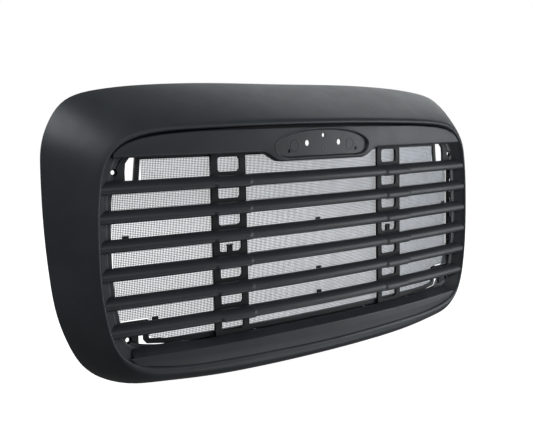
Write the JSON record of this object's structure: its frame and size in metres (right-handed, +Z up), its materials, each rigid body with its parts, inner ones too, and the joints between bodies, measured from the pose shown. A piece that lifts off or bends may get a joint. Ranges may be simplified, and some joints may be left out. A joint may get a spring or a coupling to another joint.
{
  "type": "front grille",
  "caption": "Front grille for a highway tractor: flared surround, bowed louvres on post ladders, header with emblem recess, and a wire bug screen behind",
  "frame": {"origin": "midway between the two upper corner holes, on the back face of the surround's flat rim", "axes": "+X to the viewer's right seen from the front, +Y rearward so the face looks along -Y, +Z up"},
  "size_m": [1.1942, 0.1639, 0.6269],
  "materials": {
    "shell_plastic": "fine moulded grain, satin black",
    "bar_plastic": "satin black moulded plastic",
    "ladder_plastic": "plain black moulded plastic",
    "screen_rail": "black coated folded strip",
    "wire_mesh": "woven wire, dull",
    "pad_rubber": "soft black",
    "screw_steel": "zinc plated"
  },
  "bodies": {
    "grille": {"surround_shell": "shell_plastic", "header_bar": "bar_plastic", "sill_bar": "bar_plastic", "louvre_1": "bar_plastic", "louvre_2": "bar_plastic", "louvre_3": "bar_plastic", "louvre_4": "bar_plastic", "louvre_5": "bar_plastic", "louvre_6": "bar_plastic", "ladder_left": "ladder_plastic", "ladder_right": "ladder_plastic", "rung_clip_left": "ladder_plastic", "rung_clip_right": "ladder_plastic", "corner_plate_upper_left": "ladder_plastic", "corner_plate_upper_right": "ladder_plastic", "corner_plate_lower_left": "ladder_plastic", "corner_plate_lower_right": "ladder_plastic", "screen_pads": "pad_rubber", "louvre_tabs": "ladder_plastic", "ladder_screws": "screw_steel", "louvre_end_screws": "screw_steel", "header_screws": "screw_steel", "sill_screws": "screw_steel"},
    "bug_screen": {"screen_frame": "screen_rail", "screen_mesh": "wire_mesh", "screen_pegs": "ladder_plastic"}
  },
  "joints": [
    {"name": "screen_lift_off", "type": "slide", "parent": "grille", "child": "bug_screen", "axis": [0, 1, 0], "range_m": [0, 0.12]}
  ]
}
